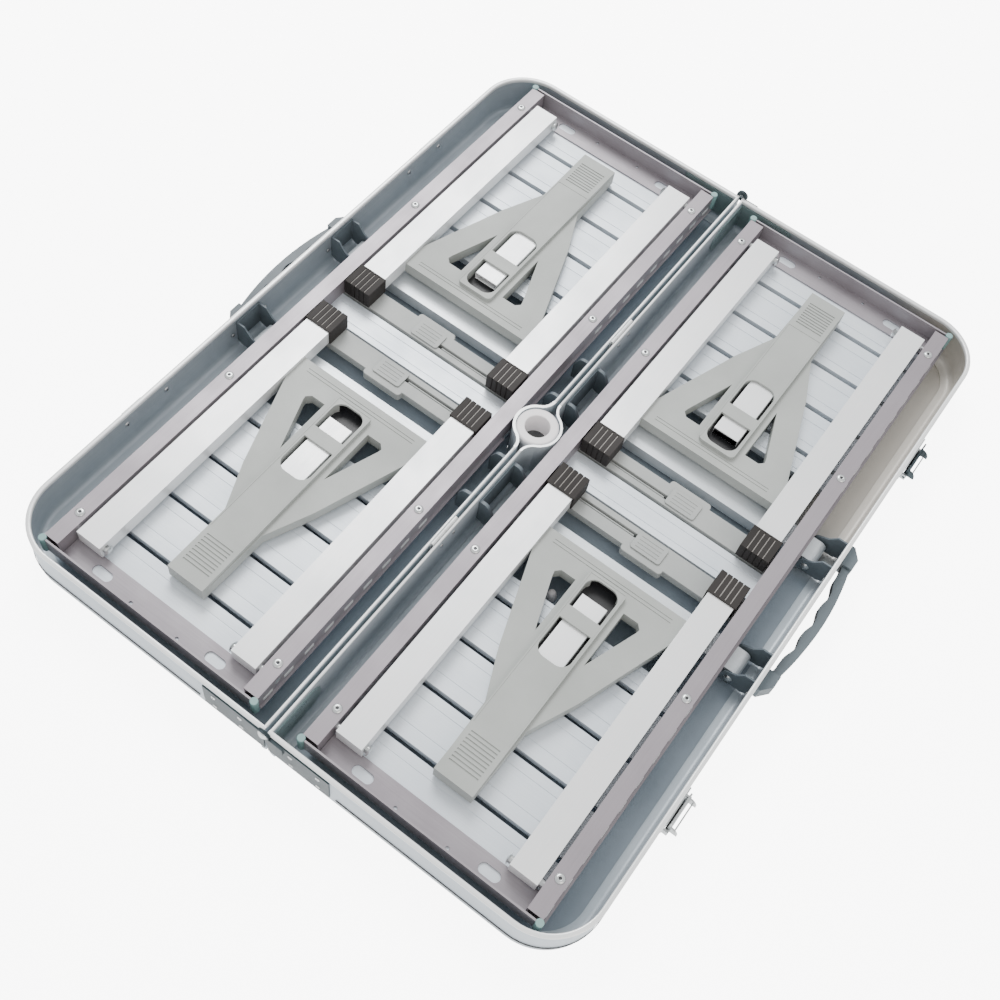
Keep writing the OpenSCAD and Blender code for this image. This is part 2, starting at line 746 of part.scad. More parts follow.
module brace_cuts() {
  roof_z = leg_top - bolt_roof;
  window_mid = window_y + window_l / 2;
  floor_z = roof_z - 2 * bolt_gap - bolt_h;
  // channel for the lock bolt, inside the spine
  block([-channel_half, window_y - 2, floor_z], [channel_half, brace_tip_y - 20, roof_z]);
  // window down to the channel's floor, with a strap across it
  difference() {
    translate([0, window_mid, floor_z]) rotate([0, 0, 90]) rounded_box(window_l, 2 * window_half, brace_t + 2 * bolt_h, 12);
    block([-window_half - cut, strap_y, roof_z], [window_half + cut, strap_y + strap_l, leg_top - 0.5]);
  }
  // recess between the spine's edge beads
  bead_x = spine_half - 1.5;
  block([-bead_x, spine_y + 2.5, leg_top - 0.5], [bead_x, brace_tip_y - 58, leg_top + cut]);
  // triangular holes on both sides of the spine
  for (s = [-1, 1]) translate([0, 0, brace_z - cut]) linear_extrude(brace_t + 2 * cut)
    polygon([
      [s * 29, brace_y + 33], [s * 46, brace_y + 33], [s * 51, brace_y + 38], [s * 50, brace_y + 43], [s * 29, brace_y + 103]
    ]);
  // hollow underside of the base
  for (s = [-1, 1]) translate([s * (brace_half / 2 + 10) - brace_half / 2 + 14, brace_y + 4, brace_z - cut])
    cube([brace_half - 28, brace_base - 8, brace_t - 3]);
  // grip grooves at the narrow end and fine lines
  for (k = [0:8]) translate([-16.5, brace_tip_y - 50 + k * 4.2, leg_top - 1]) cube([33, 1.6, 1 + cut]);
  for (k = [0:1]) translate([-brace_half + 12, brace_y + 8 + 4 * k, brace_top - 0.6]) cube([2 * brace_half - 24, 0.9, cut]);
}

// A-shaped moulded panel between the two tubes of a leg frame
module leg_brace(side, end) {
  end_r = 6;
  color("silver") on_side(side) to_end(end) translate([bench_mid, 0, 0]) difference() {
    union() {
      translate([0, 0, brace_z]) linear_extrude(brace_t) polygon(brace_outline());
      block([-spine_half, spine_y + end_r, brace_z], [spine_half, brace_tip_y, leg_top]);
      translate([0, spine_y + end_r, brace_z]) rounded_box(2 * spine_half, 2 * end_r, leg_top - brace_z, end_r - 0.1);
    }
    brace_cuts();
  }
}

// square tube that slides in the brace panel's channel
module lock_bolt(side, end) {
  z0 = leg_top - bolt_roof - bolt_gap - bolt_h;
  color("white") on_side(side) to_end(end) translate([bench_mid, bolt_end_y, z0]) difference() {
    translate([-bolt_half, 0, 0]) cube([2 * bolt_half, bolt_l, bolt_h]);
    translate([-bolt_half + leg_wall, -cut, leg_wall])
      cube([2 * (bolt_half - leg_wall), bolt_l + 2 * cut, bolt_h - 2 * leg_wall]);
  }
}

case_frame(left);  // case_frame_left
case_frame(right);  // case_frame_right
table_panel(left);  // table_panel_left
table_panel(right);  // table_panel_right
arm_brackets(left);  // arm_brackets_left
arm_brackets(right);  // arm_brackets_right
cradle_brackets(left);  // cradle_brackets_left
cradle_brackets(right);  // cradle_brackets_right
umbrella_collar();
hinge_leaves(left);  // hinge_leaves_left
hinge_leaves(right);  // hinge_leaves_right
hinge_pins();
end_hinge_plates(left);  // end_hinge_plates_left
end_hinge_plates(right);  // end_hinge_plates_right
end_hinge_pins();
corner_plates(left);  // corner_plates_left
corner_plates(right);  // corner_plates_right
handle_blocks(left);  // handle_blocks_left
handle_blocks(right);  // handle_blocks_right
handle_grip(left);  // handle_grip_left
handle_grip(right);  // handle_grip_right
latch_plates();
latch_catches();
latch_lever(front);  // latch_lever_front
latch_lever(back);  // latch_lever_back
bench_rails(left);  // bench_rails_left
bench_rails(right);  // bench_rails_right
seat_slats(left);  // seat_slats_left
seat_slats(right);  // seat_slats_right
bench_plates(left);  // bench_plates_left
bench_plates(right);  // bench_plates_right
lock_housings(left);  // lock_housings_left
lock_housings(right);  // lock_housings_right
bench_trim(left);  // bench_trim_left
bench_trim(right);  // bench_trim_right
arm_pins(left);  // arm_pins_left
arm_pins(right);  // arm_pins_right
arms(left);  // arms_left
arms(right);  // arms_right
lock_slider(left, front);  // lock_slider_left_front
lock_slider(left, back);  // lock_slider_left_back
lock_slider(right, front);  // lock_slider_right_front
lock_slider(right, back);  // lock_slider_right_back
leg_tubes(left, front);  // leg_tubes_left_front
leg_tubes(left, back);  // leg_tubes_left_back
leg_tubes(right, front);  // leg_tubes_right_front
leg_tubes(right, back);  // leg_tubes_right_back
leg_feet(left, front);  // leg_feet_left_front
leg_feet(left, back);  // leg_feet_left_back
leg_feet(right, front);  // leg_feet_right_front
leg_feet(right, back);  // leg_feet_right_back
leg_brace(left, front);  // leg_brace_left_front
leg_brace(left, back);  // leg_brace_left_back
leg_brace(right, front);  // leg_brace_right_front
leg_brace(right, back);  // leg_brace_right_back
lock_bolt(left, front);  // lock_bolt_left_front
lock_bolt(left, back);  // lock_bolt_left_back
lock_bolt(right, front);  // lock_bolt_right_front
lock_bolt(right, back);  // lock_bolt_right_back
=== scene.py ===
"""A suitcase-type folding table, open and flat, dressed for a studio view.

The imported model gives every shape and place. This script softens the edges of its pieces, adds the
fasteners and trims that ride on them, gives each piece its finish, and sets up the studio.
"""
import json
import logging
import math
from collections.abc import Callable, Iterable, Sequence
from dataclasses import dataclass
from enum import Enum

import bmesh
import bpy
from mathutils import Matrix, Vector


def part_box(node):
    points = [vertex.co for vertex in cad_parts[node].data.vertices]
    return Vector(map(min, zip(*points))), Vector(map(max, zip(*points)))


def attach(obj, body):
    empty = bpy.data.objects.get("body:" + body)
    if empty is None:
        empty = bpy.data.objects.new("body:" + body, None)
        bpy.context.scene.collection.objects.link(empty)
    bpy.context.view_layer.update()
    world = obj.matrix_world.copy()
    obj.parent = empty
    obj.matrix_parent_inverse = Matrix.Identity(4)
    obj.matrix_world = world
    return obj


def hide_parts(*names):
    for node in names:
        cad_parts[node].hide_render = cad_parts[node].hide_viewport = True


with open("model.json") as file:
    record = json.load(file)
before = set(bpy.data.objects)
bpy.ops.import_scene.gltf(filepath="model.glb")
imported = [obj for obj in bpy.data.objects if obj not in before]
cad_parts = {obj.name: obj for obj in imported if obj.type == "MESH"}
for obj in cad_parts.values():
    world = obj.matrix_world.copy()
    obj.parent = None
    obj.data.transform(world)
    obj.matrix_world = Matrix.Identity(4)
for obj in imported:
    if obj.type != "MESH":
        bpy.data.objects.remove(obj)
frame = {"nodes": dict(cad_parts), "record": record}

LOG = logging.getLogger("folding_table")
MM = 0.001
SUNK = 0.2 * MM  # how far a fastener's foot goes into what it stands on
FLAT_DEGREES = 0.4  # faces that meet at less than this are joined into one
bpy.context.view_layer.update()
BODY_OF = {n: body for body, nodes in frame["record"]["behaviour"]["bodies"].items() for n in nodes}


class Side(Enum):
    """The two trays, by the sign of X."""

    LEFT = -1
    RIGHT = 1

    @property
    def word(self) -> str:
        """The side's name in node and body names."""
        return self.name.lower()


class End(Enum):
    """The two ends of a tray, by the sign of Y."""

    FRONT = -1
    BACK = 1

    @property
    def word(self) -> str:
        """The end's name in node and body names."""
        return self.name.lower()


LINE = 1 / 60.0  # a drawn line's width over its length


class Draw(Enum):
    """The direction in which an extrusion was drawn, as the scale of its fine lines along X, Y and Z."""

    ALONG_X = (LINE, 1.0, 1.0)
    ALONG_Y = (1.0, LINE, 1.0)
    LEVEL = (LINE, LINE, 1.0)


# ---------------------------------------------------------------------------------------------- nodes


def linear(code: str, alpha: float = 1.0) -> tuple[float, float, float, float]:
    """Turns an sRGB hex colour to linear.

    Args:
        code: six hex digits, with or without a leading hash sign.
        alpha: the colour's fourth value.

    Returns:
        Linear red, green, blue and alpha.
    """
    code = code.lstrip("#")
    parts = (int(code[i:i + 2], 16) / 255 for i in (0, 2, 4))
    red, green, blue = (c / 12.92 if c <= 0.04045 else ((c + 0.055) / 1.055) ** 2.4 for c in parts)
    return (red, green, blue, alpha)


def add_node(tree: bpy.types.NodeTree, kind: str, inputs: dict | None = None,
             **settings: object) -> bpy.types.Node:
    """Adds a node with its settings and links.

    Args:
        tree: the tree that gets the node.
        kind: the node's type name.
        inputs: socket name or index to a value, or to the output socket to link from.
        **settings: attributes of the node.

    Returns:
        The new node.
    """
    made = tree.nodes.new(kind)
    for key, value in settings.items():
        setattr(made, key, value)
    for key, value in (inputs or {}).items():
        if isinstance(value, bpy.types.NodeSocket):
            tree.links.new(value, made.inputs[key])
        else:
            made.inputs[key].default_value = value
    return made


# ------------------------------------------------------------------------------------------- finishes


FINE_SHARE = 0.35  # how much of a finish's variation is its fine grain; soft patches make the rest
TINT_SPAN = (0.36, 0.64)  # the variation over which the colour goes from the main one to the shade
ROUGH_SPAN = (0.3, 0.7)  # the variation over which the roughness goes from its least to its most
ROUGH_SWING = 0.07  # how far the roughness goes either side of its mean
LEAST_ROUGH = 0.03
HALF_FADE_MM = 40.0  # half the width of the fade to the painted warm light
HARD_FADE_MM = 0.1  # width of the fade's stop at a wall's middle


@dataclass(frozen=True)
class Finish:
    """A surface finish: what it is made of, how it was made, and on some a fade to painted warm light.

    Attributes:
        name: the material's name.
        colour: its main sRGB colour.
        shade: the sRGB colour that it drifts to in patches.
        roughness: mean roughness.
        metallic: 0 for plastics and paint, up to 1 for bare metal.
        relief_mm: height of its fine relief.
        grain_mm: size of its fine relief.
        patch_mm: size of its soft patches of colour.
        far_colour: the sRGB colour of the painted warm light that it fades to towards large X and Y, or
            empty.
        far_mm: the X that the fade is centred on.
        far_from_mm: the Y that the fade starts from.
        inside_mm: the X and Y that the fade stays within and the Z that it stays above, so that a wall's
            outer face has none.
    """

    name: str
    colour: str
    shade: str
    roughness: float
    metallic: float = 0.0
    relief_mm: float = 0.02
    grain_mm: float = 0.8
    patch_mm: float = 70.0
    far_colour: str = ""
    far_mm: float = 240.0
    far_from_mm: float = 50.0
    inside_mm: tuple[float, float, float] = (333.5, 426.0, 4.0)

    def faded(self, tree: bpy.types.NodeTree, place: bpy.types.NodeSocket,
              tint: bpy.types.NodeSocket) -> bpy.types.NodeSocket:
        """Fades the colour to the painted warm light, if there is one.

        Args:
            tree: the material's tree.
            place: the object coordinates.
            tint: the colour before the fade.

        Returns:
            The colour's socket.
        """
        if not self.far_colour:
            return tint
        apart = add_node(tree, "ShaderNodeSeparateXYZ", {0: place})
        x_end, y_end, z_start = self.inside_mm
        ramps = ((0, self.far_mm - HALF_FADE_MM, self.far_mm + HALF_FADE_MM),
                 (1, self.far_from_mm, self.far_from_mm + 2 * HALF_FADE_MM),
                 (0, x_end + HARD_FADE_MM, x_end), (1, y_end + HARD_FADE_MM, y_end),
                 (2, z_start, z_start + HARD_FADE_MM))
        share = None
        for axis, start, stop in ramps:
            ramp = add_node(tree, "ShaderNodeMapRange", {
                "Value": apart.outputs[axis], "From Min": start * MM, "From Max": stop * MM})
            share = ramp if share is None else add_node(
                tree, "ShaderNodeMath", {0: share.outputs[0], 1: ramp.outputs[0]}, operation="MULTIPLY")
        return add_node(tree, "ShaderNodeMix", {0: share.outputs[0], 6: tint, 7: linear(self.far_colour)},
                        data_type="RGBA").outputs[2]

    def stretch(self) -> tuple[float, float, float]:
        """How much finer the relief is along X, Y and Z than its grain."""
        return (1.0, 1.0, 1.0)

    def dress(self, shader: bpy.types.Node) -> None:
        """Sets what else this finish has on its shader."""

    def material(self) -> bpy.types.Material:
        """The finish as a material, made once and then shared.

        Returns:
            The material.
        """
        found = bpy.data.materials.get(self.name)
        if found:
            return found
        made = bpy.data.materials.new(self.name)
        made.use_nodes = True
        tree = made.node_tree
        tree.nodes.clear()
        place = add_node(tree, "ShaderNodeTexCoord").outputs["Object"]
        fine_scale = tuple(s / (self.grain_mm * MM) for s in self.stretch())
        fine_place = add_node(tree, "ShaderNodeMapping", {"Vector": place, "Scale": fine_scale})
        fine = add_node(tree, "ShaderNodeTexNoise", {
            "Vector": fine_place.outputs[0], "Scale": 1.0, "Detail": 3.0, "Roughness": 0.6})
        broad = add_node(tree, "ShaderNodeTexNoise", {
            "Vector": place, "Scale": 1 / (self.patch_mm * MM), "Detail": 4.0, "Roughness": 0.55})
        fine_part = add_node(tree, "ShaderNodeMath", {0: fine.outputs["Fac"], 1: FINE_SHARE},
                             operation="MULTIPLY")
        broad_part = add_node(tree, "ShaderNodeMath", {0: broad.outputs["Fac"], 1: 1 - FINE_SHARE},
                              operation="MULTIPLY")
        both = add_node(tree, "ShaderNodeMath", {0: fine_part.outputs[0], 1: broad_part.outputs[0]},
                        operation="ADD")
        drift = add_node(tree, "ShaderNodeMapRange", {
            "Value": both.outputs[0], "From Min": TINT_SPAN[0], "From Max": TINT_SPAN[1]})
        tint = add_node(tree, "ShaderNodeMix", {
            0: drift.outputs[0], 6: linear(self.colour), 7: linear(self.shade)}, data_type="RGBA")
        rough = add_node(tree, "ShaderNodeMapRange", {
            "Value": both.outputs[0], "From Min": ROUGH_SPAN[0], "From Max": ROUGH_SPAN[1],
            "To Min": max(self.roughness - ROUGH_SWING, LEAST_ROUGH), "To Max": self.roughness + ROUGH_SWING})
        bump = add_node(tree, "ShaderNodeBump", {
            "Strength": 0.6, "Distance": self.relief_mm * MM, "Height": fine.outputs["Fac"]})
        shader = add_node(tree, "ShaderNodeBsdfPrincipled", {
            "Base Color": self.faded(tree, place, tint.outputs[2]), "Roughness": rough.outputs[0],
            "Normal": bump.outputs[0], "Metallic": self.metallic})
        self.dress(shader)
        add_node(tree, "ShaderNodeOutputMaterial", {"Surface": shader.outputs[0]})
        return made


@dataclass(frozen=True)
class Extrusion(Finish):
    """Anodised aluminium, drawn through a die: the draw leaves fine parallel lines along its length."""

    draw: Draw = Draw.ALONG_Y

    def stretch(self) -> tuple[float, float, float]:
        """The relief runs along the draw, sixty times longer than it is wide."""
        return self.draw.value


@dataclass(frozen=True)
class Moulding(Finish):
    """Injection-moulded plastic with a spark-eroded grain, which breaks up its highlights."""

    coat: float = 0.0

    def dress(self, shader: bpy.types.Node) -> None:
        """Sets the plastic's IOR and its thin gloss."""
        shader.inputs["IOR"].default_value = 1.49
        shader.inputs["Coat Weight"].default_value = self.coat
        shader.inputs["Coat Roughness"].default_value = 0.3


@dataclass(frozen=True)
class ClearMoulding(Finish):
    """Frosted clear plastic: it lets the wall behind show through, softly."""

    clear: float = 0.5

    def dress(self, shader: bpy.types.Node) -> None:
        """Sets how much light goes through."""
        shader.inputs["IOR"].default_value = 1.49
        shader.inputs["Transmission Weight"].default_value = self.clear


# satin blue-grey of the trays' anodised walls, with painted warm light in the back outer corner; level draw
# lines
WALL = Extrusion("anodised_aluminium_wall", "#BCC6CD", "#ADB8C0", 0.40, 0.20, 0.015, 1.2, draw=Draw.LEVEL,
                 far_colour="#D3CFC7")
# the walls' top edge, its near-white a painted highlight
RIM_HIGHLIGHT = Extrusion("polished_aluminium_rim", "#F6F8F8", "#ECEFF0", 0.30, 0.25, 0.01, 1.0, draw=Draw.LEVEL)
# matt slate blue of the table-top's coated inner face, turned beige by painted warm light in the back outer
# corner
TOP_SHEET = Finish("coated_composite_sheet", "#94A1AC", "#8895A0", 0.42, 0.1, 0.02, 1.0,
                   far_colour="#C9C4BB", far_mm=262.0)
# warm mauve-grey sheen of the benches' anodised rails, with fine lines along their length
RAIL = Extrusion("anodised_aluminium_rail", "#9A949A", "#8D878D", 0.38, 0.40, 0.015, 0.9)
# the same anodising, a little lighter, with its lines across the bench
PLATE = Extrusion("anodised_aluminium_end_plate", "#9D999E", "#8D878D", 0.42, 0.4, 0.015, 0.9,
                  draw=Draw.ALONG_X)
# pale blue-white planks with fine lines along each plank
SLAT = Extrusion("anodised_aluminium_slat", "#DFE6EC", "#D0D8E0", 0.4, 0.3, 0.015, 0.9, draw=Draw.ALONG_X)
# near-white legs with a soft highlight along each edge
TUBE = Extrusion("bright_aluminium_tube", "#F4F5F6", "#E6E9EB", 0.32, 0.3, 0.015, 0.7)
# the cross arms, a shade cooler than the legs
ARM = Extrusion("bright_aluminium_arm", "#DCE2E6", "#C9D0D5", 0.34, 0.35, 0.015, 0.7, draw=Draw.ALONG_X)
# dull brown-black feet whose grain breaks up the light
RUBBER = Moulding("moulded_rubber_foot", "#211C1A", "#181412", 0.7, 0.0, 0.05, 0.5)
# the feet's groove floors, light grey as a painted highlight for the thin light lines between the ribs
GROOVE_HIGHLIGHT = Moulding("worn_rubber_groove", "#A09C98", "#8B8783", 0.6, 0.0, 0.03, 0.5)
# soft grey-green plastic of the leg braces, with a spark-eroded grain
BRACE = Moulding("moulded_abs_brace", "#A9ADAA", "#9DA19E", 0.5, 0.0, 0.03, 0.6)
# near-black painted shade: the brace channels, the foot of the collar's bore and the wall behind the grips
PAINTED_SHADE = Moulding("black_nylon_liner", "#1E1F23", "#141518", 0.45, 0.0, 0.03, 0.6)
# grey plastic of the lock housings and their sliders, a touch lighter than the braces
HOUSING = Moulding("moulded_abs_housing", "#ACAFAD", "#9DA1A0", 0.52, 0.0, 0.03, 0.6)
# dark slate plastic of the gussets
BRACKET = Moulding("moulded_nylon_bracket", "#68737A", "#58636A", 0.5, 0.0, 0.03, 0.6)
# slate plastic of the handles, with a soft sheen on the grip's curves
HANDLE = Moulding("moulded_nylon_handle", "#5F6A70", "#525C62", 0.48, 0.0, 0.03, 0.6)
# clean white plastic with a thin gloss
WHITE = Moulding("moulded_white_collar", "#F3F0F1", "#E9E6E8", 0.38, 0.0, 0.015, 0.8, coat=0.2)
# small sea-green accents at the benches' corners
CAP = Moulding("moulded_teal_cap", "#86A8A4", "#76989A", 0.4, 0.0, 0.02, 0.6, coat=0.1)
# smooth off-white paint of the small hinges and the slat tabs
ENAMEL = Finish("baked_enamel_leaf", "#E4E6E6", "#D8DBDB", 0.35, 0.2, 0.01, 0.9)
# dark plates with a dim metallic glint
DARK = Finish("black_zinc_plate", "#3A474C", "#2E393E", 0.4, 0.5, 0.01, 0.9)
# bright small metal that picks up the lights
STEEL = Finish("zinc_plated_steel", "#D2D5D5", "#BBBFC0", 0.28, 0.9, 0.01, 0.6, 12.0)
# dark dots in the rivets' middles
PIT = Finish("dark_rivet_mandrel", "#4A4B4E", "#3A3B3D", 0.4, 0.8, 0.01, 0.4, 3.0)
# milky plates that let the wall show through
CLEAR = ClearMoulding("frosted_clear_plate", "#9DB4B6", "#8DA5A8", 0.3, 0.0, 0.01, 1.0)


# --------------------------------------------------------------------------------------------- pieces


@dataclass(frozen=True)
class Edge:
    """How a piece's sharp edges are softened.

    Attributes:
        width_mm: width of the bevel, or 0 for none.
        segments: facets across it.
        angle: edges sharper than this many degrees are softened.
    """

    width_mm: float = 0.0
    segments: int = 2
    angle: float = 32.0


def baked(obj: bpy.types.Object) -> bpy.types.Object:
    """Applies every modifier on a piece.

    Args:
        obj: the piece, which gets its evaluated mesh.

    Returns:
        The same piece, with no modifiers left.
    """
    bpy.context.view_layer.update()
    graph = bpy.context.evaluated_depsgraph_get()
    mesh = bpy.data.meshes.new_from_object(
        obj.evaluated_get(graph), preserve_all_data_layers=True, depsgraph=graph)
    obj.modifiers.clear()
    obj.data = mesh
    return obj


def new_piece(name: str, mesh: bpy.types.Mesh, finish: Finish | None) -> bpy.types.Object:
    """Puts a mesh in the scene as a piece.

    Args:
        name: the piece's name.
        mesh: its mesh, with places in the frame.
        finish: its finish, or None where the mesh has its own.

    Returns:
        The piece.
    """
    obj = bpy.data.objects.new(name, mesh)
    bpy.context.scene.collection.objects.link(obj)
    if finish:
        mesh.materials.clear()
        mesh.materials.append(finish.material())
    return obj


def soften(obj: bpy.types.Object, edge: Edge) -> bpy.types.Object:
    """Rounds a piece's sharp edges and shades it smooth between them.

    Args:
        obj: the piece.
        edge: how its edges are softened.

    Returns:
        The same piece.
    """
    obj.data.shade_smooth()
    if edge.width_mm > 0:
        bevel = obj.modifiers.new("edge", "BEVEL")
        bevel.width = edge.width_mm * MM
        bevel.segments = edge.segments
        bevel.limit_method = "ANGLE"
        bevel.angle_limit = math.radians(edge.angle)
        bevel.harden_normals = True
        weigh = obj.modifiers.new("normals", "WEIGHTED_NORMAL")
        weigh.keep_sharp = True
        return baked(obj)
    obj.data.set_sharp_from_angle(angle=math.radians(edge.angle))
    return obj


def merged_mesh(node: str, keep: Callable[[Vector, Vector], bool] | None = None) -> bpy.types.Mesh:
    """Copies a CAD node's mesh, with its doubles merged and its flat faces joined.

    Args:
        node: the CAD node.
        keep: given a loose part's lowest and highest corners, says whether it stays.

    Returns:
        The new mesh.
    """
    shape = bmesh.new()
    shape.from_mesh(frame["nodes"][node].data)
    bmesh.ops.remove_doubles(shape, verts=shape.verts, dist=1e-6)
    if keep:
        drop_parts(shape, keep)
    bmesh.ops.dissolve_limit(
        shape, angle_limit=math.radians(FLAT_DEGREES), verts=shape.verts, edges=shape.edges,
        use_dissolve_boundaries=False)
    mesh = bpy.data.meshes.new(node)
    shape.to_mesh(mesh)
    shape.free()
    return mesh


def drop_parts(shape: bmesh.types.BMesh, keep: Callable[[Vector, Vector], bool]) -> None:
    """Removes the loose parts of a mesh that aren't kept.

    Args:
        shape: the mesh.
        keep: given a part's lowest and highest corners, says whether it stays.
    """
    waiting = set(shape.verts)
    doomed: list[bmesh.types.BMVert] = []
    while waiting:
        part, edge_of = set(), [waiting.pop()]
        while edge_of:
            vert = edge_of.pop()
            part.add(vert)
            for link in vert.link_edges:
                other = link.other_vert(vert)
                if other in waiting:
                    waiting.remove(other)
                    edge_of.append(other)
        low = Vector(min(v.co[i] for v in part) for i in range(3))
        high = Vector(max(v.co[i] for v in part) for i in range(3))
        if not keep(low, high):
            doomed.extend(part)
    bmesh.ops.delete(shape, geom=doomed, context="VERTS")


def dress_node(node: str, finish: Finish, edge: Edge = Edge(), second: Finish | None = None,
               where: Callable[[Vector, Vector, Vector], bool] | None = None) -> bpy.types.Object:
    """Makes a softened and finished piece that stands for a CAD node.

    Args:
        node: the CAD node.
        finish: the piece's finish.
        edge: how its edges are softened.
        second: a second finish, for some of its faces.
        where: given a face's lowest and highest corners and its normal, says whether it has the second
            finish.

    Returns:
        The piece, riding on the node's body.
    """
    piece = new_piece(f"{node}_skin", merged_mesh(node), finish)
    if second and where:
        piece.data.materials.append(second.material())
        for face in piece.data.polygons:
            at = [piece.data.vertices[v].co for v in face.vertices]
            low, high = (Vector(pick(v[i] for v in at) for i in range(3)) for pick in (min, max))
            face.material_index = int(where(low, high, face.normal))
    return seat(soften(piece, edge), BODY_OF[node], [node])


def seat(piece: bpy.types.Object, body: str, nodes: Iterable[str] = ()) -> bpy.types.Object:
    """Rides a piece on its body and hides the nodes that it stands for.

    Args:
        piece: the finished piece.
        body: the CAD body it rides on.
        nodes: the CAD nodes that it replaces.

    Returns:
        The same piece.
    """
    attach(piece, body)
    if nodes:
        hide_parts(*nodes)
    LOG.info("%s on %s, %d faces", piece.name, body, len(piece.data.polygons))
    return piece


def rod(name: str, place: Vector, length: float, radius_mm: float, finish: Finish,
        steps: int = 12) -> bpy.types.Object:
    """Makes a round rod along Y.

    Args:
        name: the piece's name.
        place: the middle of its lower end.
        length: its length, in metres.
        radius_mm: its radius.
        finish: its finish.
        steps: facets round it.

    Returns:
        The rod.
    """
    shape = bmesh.new()
    bmesh.ops.create_cone(
        shape, cap_ends=True, segments=steps, radius1=radius_mm * MM, radius2=radius_mm * MM, depth=length,
        matrix=Matrix.Translation(place + Vector((0, length / 2, 0))) @ Matrix.Rotation(math.pi / 2, 4, "X"))
    mesh = bpy.data.meshes.new(name)
    shape.to_mesh(mesh)
    shape.free()
    return soften(new_piece(name, mesh, finish), Edge())


# ------------------------------------------------------------------------------------------ fasteners


